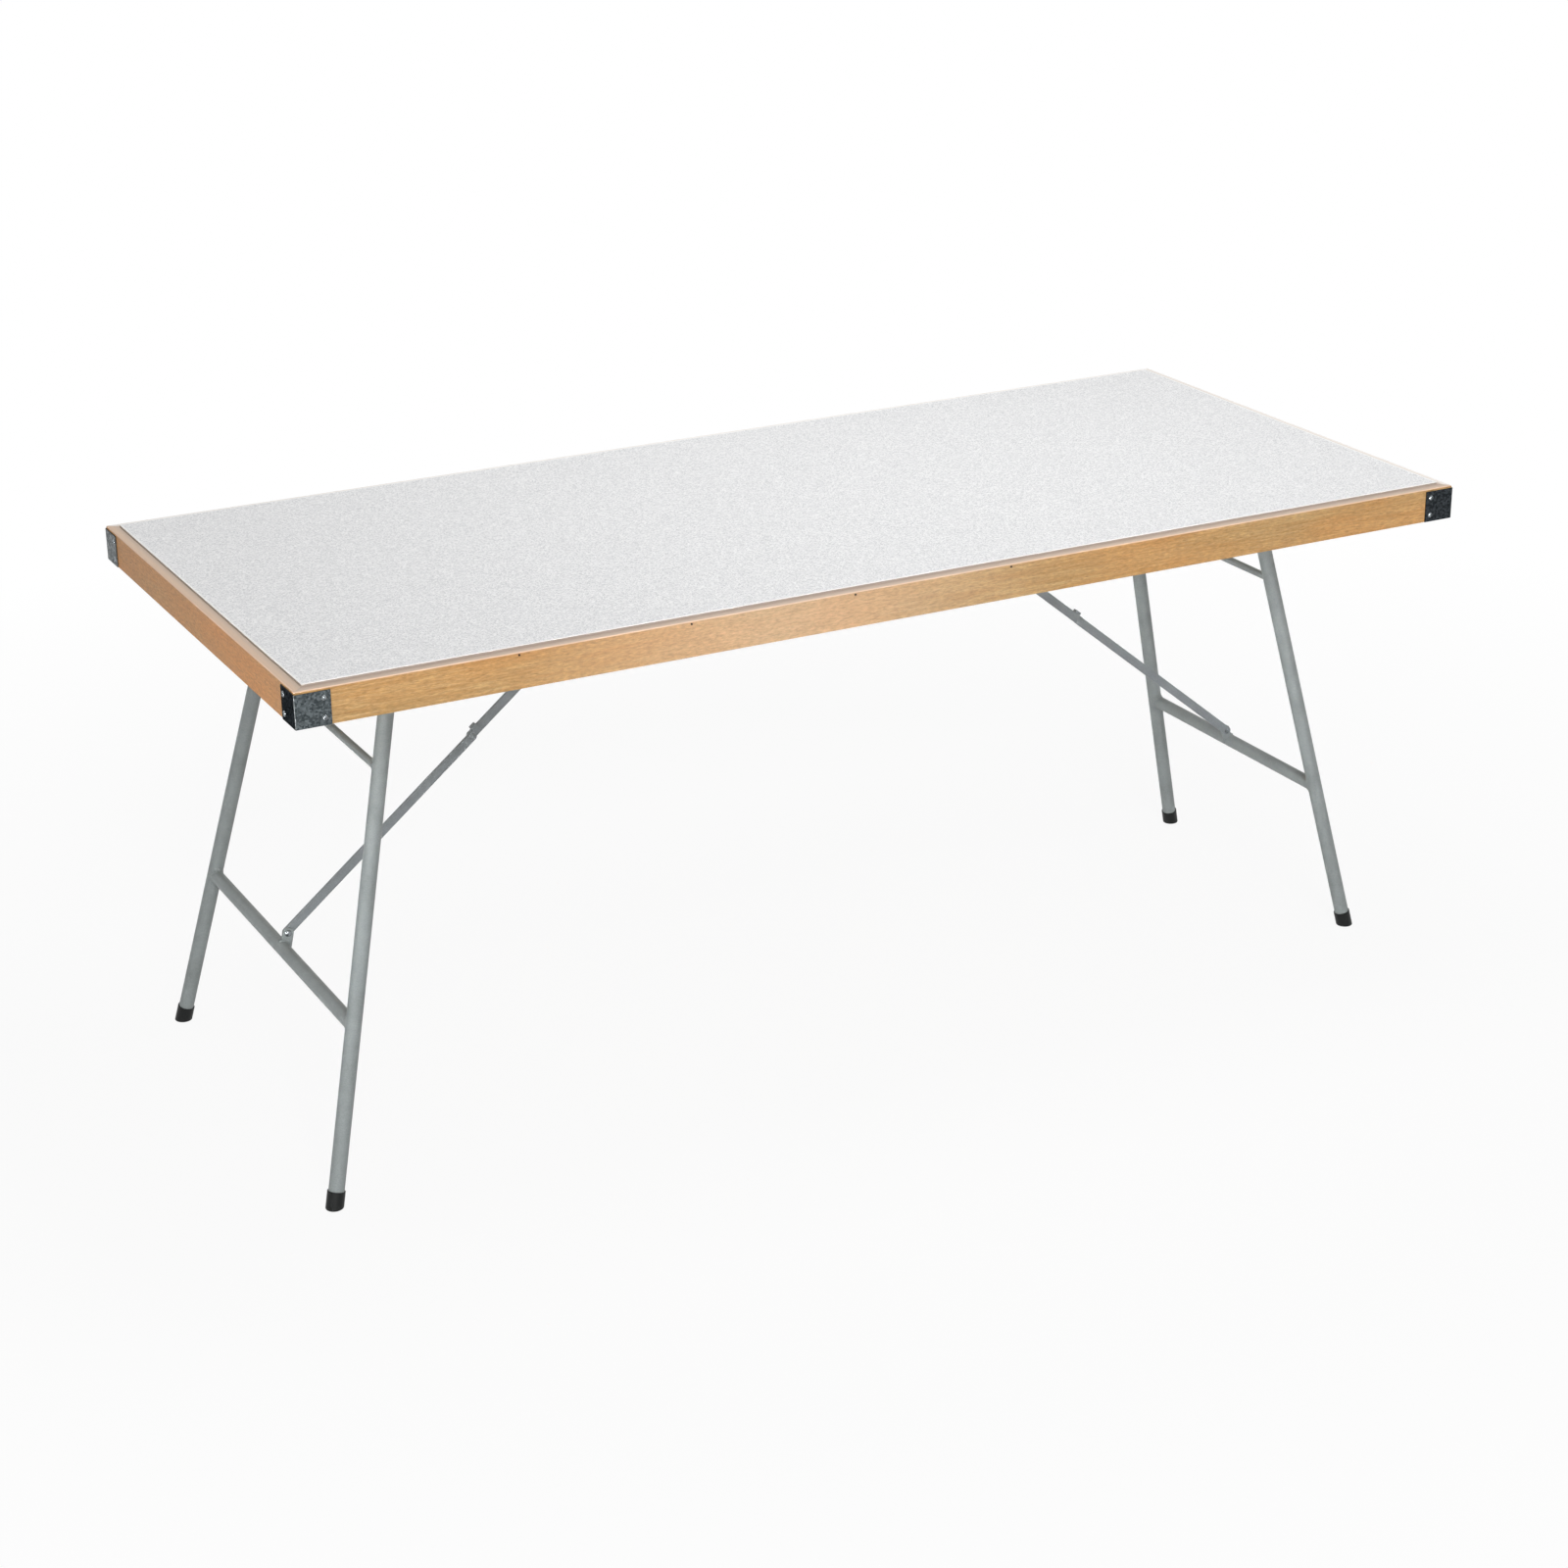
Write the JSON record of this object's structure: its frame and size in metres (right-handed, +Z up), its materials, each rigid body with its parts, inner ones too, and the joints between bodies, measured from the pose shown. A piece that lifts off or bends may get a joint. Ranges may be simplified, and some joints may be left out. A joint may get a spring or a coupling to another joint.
{
  "type": "folding trestle table",
  "caption": "Rectangular folding table with a white laminated top framed in wooden rails, on splayed tube leg frames that fold flat and lock with hinged struts.",
  "frame": {"origin": "on the floor under the middle of the top", "axes": "+X along the table's length with the wide leg frame at -X, +Y across it, +Z up"},
  "size_m": [1.8076, 0.8076, 0.77],
  "materials": {
    "white_laminate": "fine pearl-textured laminate",
    "plywood": "raw plywood",
    "beech": "satin varnish",
    "galvanised_steel": "spangled galvanised sheet",
    "dark_brad_steel": "dark oxidised steel",
    "silver_painted_tube": "silver-grey paint on steel tube",
    "grey_painted_flat_bar": "silver-grey paint on flat steel bar",
    "black_plastic": "moulded plastic",
    "zinc_plated_steel": "bright zinc plate"
  },
  "bodies": {
    "table_top": {"board": "plywood", "corner_plate_screws": "zinc_plated_steel", "front_left_corner_plate": "galvanised_steel", "front_left_hinge_bracket": "zinc_plated_steel", "front_rail": "beech", "front_right_corner_plate": "galvanised_steel", "front_right_hinge_bracket": "zinc_plated_steel", "hinge_bolts": "zinc_plated_steel", "hinge_bracket_screws": "zinc_plated_steel", "hinge_nuts": "zinc_plated_steel", "left_anchor_rivet": "zinc_plated_steel", "left_rail": "beech", "left_strut_bracket": "zinc_plated_steel", "rail_brads": "dark_brad_steel", "rear_left_corner_plate": "galvanised_steel", "rear_left_hinge_bracket": "zinc_plated_steel", "rear_rail": "beech", "rear_right_corner_plate": "galvanised_steel", "rear_right_hinge_bracket": "zinc_plated_steel", "right_anchor_rivet": "zinc_plated_steel", "right_rail": "beech", "right_strut_bracket": "zinc_plated_steel", "strut_bracket_screws": "zinc_plated_steel", "top_laminate": "white_laminate"},
    "left_leg_frame": {"left_front_foot_cap": "black_plastic", "left_front_leg": "silver_painted_tube", "left_lower_crossbar": "silver_painted_tube", "left_lug_rivet": "zinc_plated_steel", "left_rear_foot_cap": "black_plastic", "left_rear_leg": "silver_painted_tube", "left_strut_lug": "silver_painted_tube", "left_upper_crossbar": "silver_painted_tube"},
    "left_lower_link": {"left_lower_knuckle_rivet": "zinc_plated_steel", "left_lower_link": "grey_painted_flat_bar"},
    "left_upper_link": {"left_upper_knuckle_rivet": "zinc_plated_steel", "left_upper_link": "grey_painted_flat_bar"},
    "right_leg_frame": {"right_front_foot_cap": "black_plastic", "right_front_leg": "silver_painted_tube", "right_lower_crossbar": "silver_painted_tube", "right_lug_rivet": "zinc_plated_steel", "right_rear_foot_cap": "black_plastic", "right_rear_leg": "silver_painted_tube", "right_strut_lug": "silver_painted_tube", "right_upper_crossbar": "silver_painted_tube"},
    "right_lower_link": {"right_lower_knuckle_rivet": "zinc_plated_steel", "right_lower_link": "grey_painted_flat_bar"},
    "right_upper_link": {"right_upper_knuckle_rivet": "zinc_plated_steel", "right_upper_link": "grey_painted_flat_bar"}
  },
  "joints": [
    {"name": "left_leg_fold", "type": "hinge", "parent": "table_top", "child": "left_leg_frame", "pos_m": [-0.7, 0, 0.735], "axis": [0, -1, 0], "range_deg": [0, 103.2]},
    {"name": "left_upper_link_pivot", "type": "hinge", "parent": "table_top", "child": "left_upper_link", "pos_m": [-0.22, 0, 0.7405], "axis": [0, 1, 0], "range_deg": [0, 39.24]},
    {"name": "left_lower_link_pivot", "type": "hinge", "parent": "left_leg_frame", "child": "left_lower_link", "pos_m": [-0.80517, 0, 0.26253], "axis": [0, -1, 0], "range_deg": [0, 37.56]},
    {"name": "right_leg_fold", "type": "hinge", "parent": "table_top", "child": "right_leg_frame", "pos_m": [0.7, 0, 0.735], "axis": [0, 1, 0], "range_deg": [0, 103.2]},
    {"name": "right_upper_link_pivot", "type": "hinge", "parent": "table_top", "child": "right_upper_link", "pos_m": [0.22, 0, 0.7405], "axis": [0, -1, 0], "range_deg": [0, 39.24]},
    {"name": "right_lower_link_pivot", "type": "hinge", "parent": "right_leg_frame", "child": "right_lower_link", "pos_m": [0.80517, 0, 0.26253], "axis": [0, 1, 0], "range_deg": [0, 37.56]}
  ],
  "couplings": [
    {"joint": "left_upper_link_pivot", "follows": "left_leg_fold", "ratio": 0.38025},
    {"joint": "left_lower_link_pivot", "follows": "left_leg_fold", "ratio": 0.36393},
    {"joint": "right_upper_link_pivot", "follows": "right_leg_fold", "ratio": 0.38025},
    {"joint": "right_lower_link_pivot", "follows": "right_leg_fold", "ratio": 0.36393}
  ]
}
